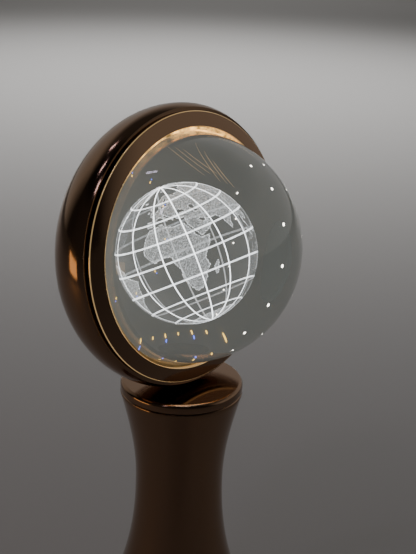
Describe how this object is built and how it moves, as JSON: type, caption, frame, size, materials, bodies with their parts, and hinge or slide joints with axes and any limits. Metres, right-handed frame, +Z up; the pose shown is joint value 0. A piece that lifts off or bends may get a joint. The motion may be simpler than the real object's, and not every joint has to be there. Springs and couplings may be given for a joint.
{
  "type": "crystal ball globe lamp on stand",
  "caption": "Crystal ball with a lit globe engraved inside, in a round plated head that turns and tilts on a trumpet column.",
  "frame": {"origin": "centre of the underside of the foot pad", "axes": "+Z up along the column's axis, and the head faces -Y"},
  "size_m": [0.0988, 0.0806, 0.2193],
  "materials": {
    "bronze_plating": "mirror-plated, dark rose bronze",
    "bronze_plated_abs": "moulded ABS, mirror-plated dark rose bronze",
    "gold_reflector": "vacuum-plated bright gold",
    "crystal": "polished clear crystal with a laser-engraved globe inside",
    "adhesive": "white bonding pad",
    "white_abs": "white moulded ABS",
    "black_abs": "black moulded ABS",
    "nylon": "natural nylon",
    "led": "warm white surface-mount LED",
    "led_board": "white solder mask on an aluminium core",
    "green_board": "green glass-fibre board",
    "battery_pouch": "foil pouch",
    "steel": "zinc-plated steel",
    "magnet": "nickel-plated neodymium",
    "brass": "turned brass",
    "iron": "painted cast iron",
    "foam": "black EVA foam",
    "lead": "insulated lead"
  },
  "bodies": {
    "stand": {"column_shell": "bronze_plating", "bearing_plate": "steel", "stem_bush": "brass", "friction_washer": "nylon", "plate_screw_1": "steel", "plate_screw_2": "steel", "plate_screw_3": "steel", "base_weight": "iron", "base_plate": "black_abs", "foot_pad": "foam", "weight_bolt": "steel", "base_screw_1": "steel", "base_screw_2": "steel", "base_screw_3": "steel"},
    "seat": {"seat_cap": "bronze_plating", "seat_magnet": "magnet", "magnet_holder": "black_abs", "swivel_pin": "steel", "thrust_washer": "nylon", "retaining_clip": "steel"},
    "head": {"rear_shell": "bronze_plated_abs", "front_bezel": "bronze_plated_abs", "reflector_ring": "gold_reflector", "crystal_ball": "crystal", "bond_pad": "adhesive", "lamp_carrier": "white_abs", "led_board": "led_board", "battery": "battery_pouch", "driver_board": "green_board", "switch_board": "green_board", "led_connector": "black_abs", "usb_socket": "steel", "tact_switch": "black_abs", "head_magnet": "magnet", "magnet_cradle": "black_abs", "battery_lead": "lead", "switch_lead": "lead", "led_01": "led", "led_02": "led", "led_03": "led", "led_04": "led", "led_05": "led", "led_06": "led", "led_07": "led", "led_08": "led", "led_09": "led", "led_10": "led", "led_11": "led", "led_12": "led", "carrier_screw_1": "steel", "carrier_screw_2": "steel", "carrier_screw_3": "steel"},
    "button": {"power_button": "bronze_plated_abs"}
  },
  "joints": [
    {"name": "seat_swivel", "type": "hinge", "parent": "stand", "child": "seat", "pos_m": [0, 0, 0.1204], "axis": [0, 0, 1], "continuous": true},
    {"name": "head_tilt", "type": "hinge", "parent": "seat", "child": "head", "pos_m": [0, -0.00146, 0.1433], "axis": [-1, 0, 0], "range_deg": [-6, 25]},
    {"name": "button_press", "type": "slide", "parent": "head", "child": "button", "axis": [0, -0.993, 0.1184], "range_m": [0, 0.0005], "stiffness_N_per_m": 1500}
  ]
}
